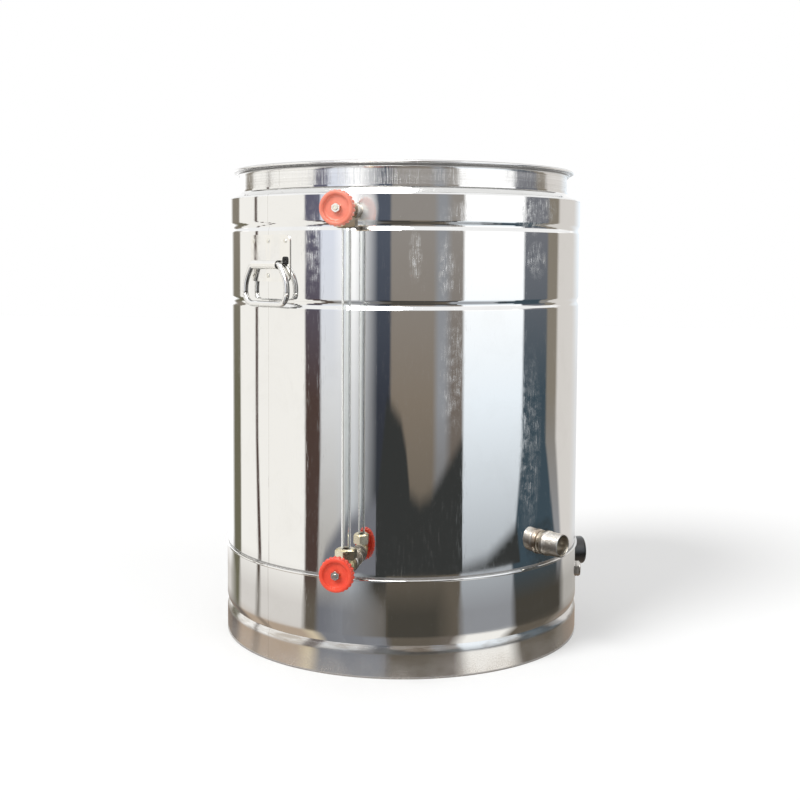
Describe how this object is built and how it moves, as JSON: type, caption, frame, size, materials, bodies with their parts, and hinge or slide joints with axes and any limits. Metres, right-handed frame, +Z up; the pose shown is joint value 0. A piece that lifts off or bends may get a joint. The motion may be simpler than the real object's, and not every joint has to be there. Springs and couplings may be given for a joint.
{
  "type": "honey settling tank",
  "caption": "Open double-walled steel honey settling tank with a heated water jacket, a glass level gauge between handwheel valves, a threaded side outlet, drop handles and a thermostat knob.",
  "frame": {"origin": "on the floor at the tank's axis, in the plane of the skirt's hem", "axes": "+Z up along the tank's axis, -Y towards the level gauge, +X to the gauge's right seen from the front"},
  "size_m": [0.5329, 0.6266, 0.672],
  "materials": {
    "vessel_steel": "brushed, scratched along the band",
    "jacket_steel": "mirror polished, fine scratches",
    "skirt_steel": "mirror polished, dusty at the hem",
    "base_steel": "plain rolled sheet",
    "fastener_steel": "bright zinc",
    "outlet_pipe": "pale plated brass",
    "nickel_plate": "nickel plate",
    "brass": "machined brass",
    "spindle_steel": "turned",
    "red_paint": "gloss red enamel",
    "seal_rubber": "matte",
    "gauge_glass": "clear",
    "handle_steel": "polished",
    "thermostat_case": "zinc",
    "knob_plastic": "gloss black",
    "copper": "copper",
    "heater_steel": "dull",
    "ceramic": "unglazed ceramic",
    "socket_steel": "turned"
  },
  "bodies": {
    "tank": {"inner_wall": "vessel_steel", "vessel_bottom": "vessel_steel", "shoulder_ring": "jacket_steel", "jacket_shell": "jacket_steel", "jacket_floor": "base_steel", "base_skirt": "skirt_steel", "base_ring": "base_steel", "base_cover": "base_steel", "cover_screws": "fastener_steel", "outlet_pipe": "outlet_pipe", "outlet_nipple": "nickel_plate", "lower_sleeve": "nickel_plate", "upper_sleeve": "nickel_plate", "lower_valve_body": "brass", "upper_valve_body": "brass", "lower_gland_nut": "brass", "upper_gland_nut": "brass", "lower_union_nut": "brass", "upper_union_nut": "brass", "lower_tube_seal": "seal_rubber", "upper_tube_seal": "seal_rubber", "sight_glass": "gauge_glass", "left_handle_plate": "handle_steel", "right_handle_plate": "handle_steel", "handle_rivets": "fastener_steel", "thermostat_case": "thermostat_case", "thermostat_screws": "fastener_steel", "sensor_pocket": "base_steel", "sensor_bulb": "copper", "heating_element": "heater_steel", "heater_nuts": "brass", "heater_washers": "seal_rubber", "heater_terminals": "ceramic", "cable_gland": "nickel_plate", "gland_dome_nut": "nickel_plate", "gland_locknut": "nickel_plate", "fill_socket": "socket_steel", "fill_plug": "brass", "drain_socket": "socket_steel", "drain_plug": "brass"},
    "lower_spindle": {"lower_spindle": "spindle_steel"},
    "lower_handwheel": {"lower_handwheel": "red_paint", "lower_wheel_nut": "fastener_steel"},
    "upper_spindle": {"upper_spindle": "spindle_steel"},
    "upper_handwheel": {"upper_handwheel": "red_paint", "upper_wheel_nut": "fastener_steel"},
    "left_handle": {"left_handle_ring": "handle_steel"},
    "right_handle": {"right_handle_ring": "handle_steel"},
    "thermostat_dial": {"thermostat_knob": "knob_plastic", "thermostat_shaft": "spindle_steel"}
  },
  "joints": [
    {"name": "lower_spindle_slide", "type": "slide", "parent": "tank", "child": "lower_spindle", "axis": [0, -1, 0], "range_m": [0, 0.004]},
    {"name": "lower_wheel_turn", "type": "hinge", "parent": "lower_spindle", "child": "lower_handwheel", "pos_m": [0, -0.341, 0.1575], "axis": [0, -1, 0], "range_deg": [0, 720]},
    {"name": "upper_spindle_slide", "type": "slide", "parent": "tank", "child": "upper_spindle", "axis": [0, -1, 0], "range_m": [0, 0.004]},
    {"name": "upper_wheel_turn", "type": "hinge", "parent": "upper_spindle", "child": "upper_handwheel", "pos_m": [0, -0.341, 0.6065], "axis": [0, -1, 0], "range_deg": [0, 720]},
    {"name": "left_handle_swing", "type": "hinge", "parent": "tank", "child": "left_handle", "pos_m": [-0.1326, -0.22967, 0.537], "axis": [-0.866, 0.5, 0], "range_deg": [0, 120]},
    {"name": "right_handle_swing", "type": "hinge", "parent": "tank", "child": "right_handle", "pos_m": [0.1326, 0.22967, 0.537], "axis": [0.866, -0.5, 0], "range_deg": [0, 120]},
    {"name": "thermostat_turn", "type": "hinge", "parent": "tank", "child": "thermostat_dial", "pos_m": [0.25393, 0.09748, 0.099], "axis": [0.9336, 0.3584, 0], "range_deg": [-270, 0]}
  ],
  "couplings": [
    {"joint": "lower_wheel_turn", "follows": "lower_spindle_slide", "rad_per_m": 3141.5},
    {"joint": "upper_wheel_turn", "follows": "upper_spindle_slide", "rad_per_m": 3141.5}
  ]
}
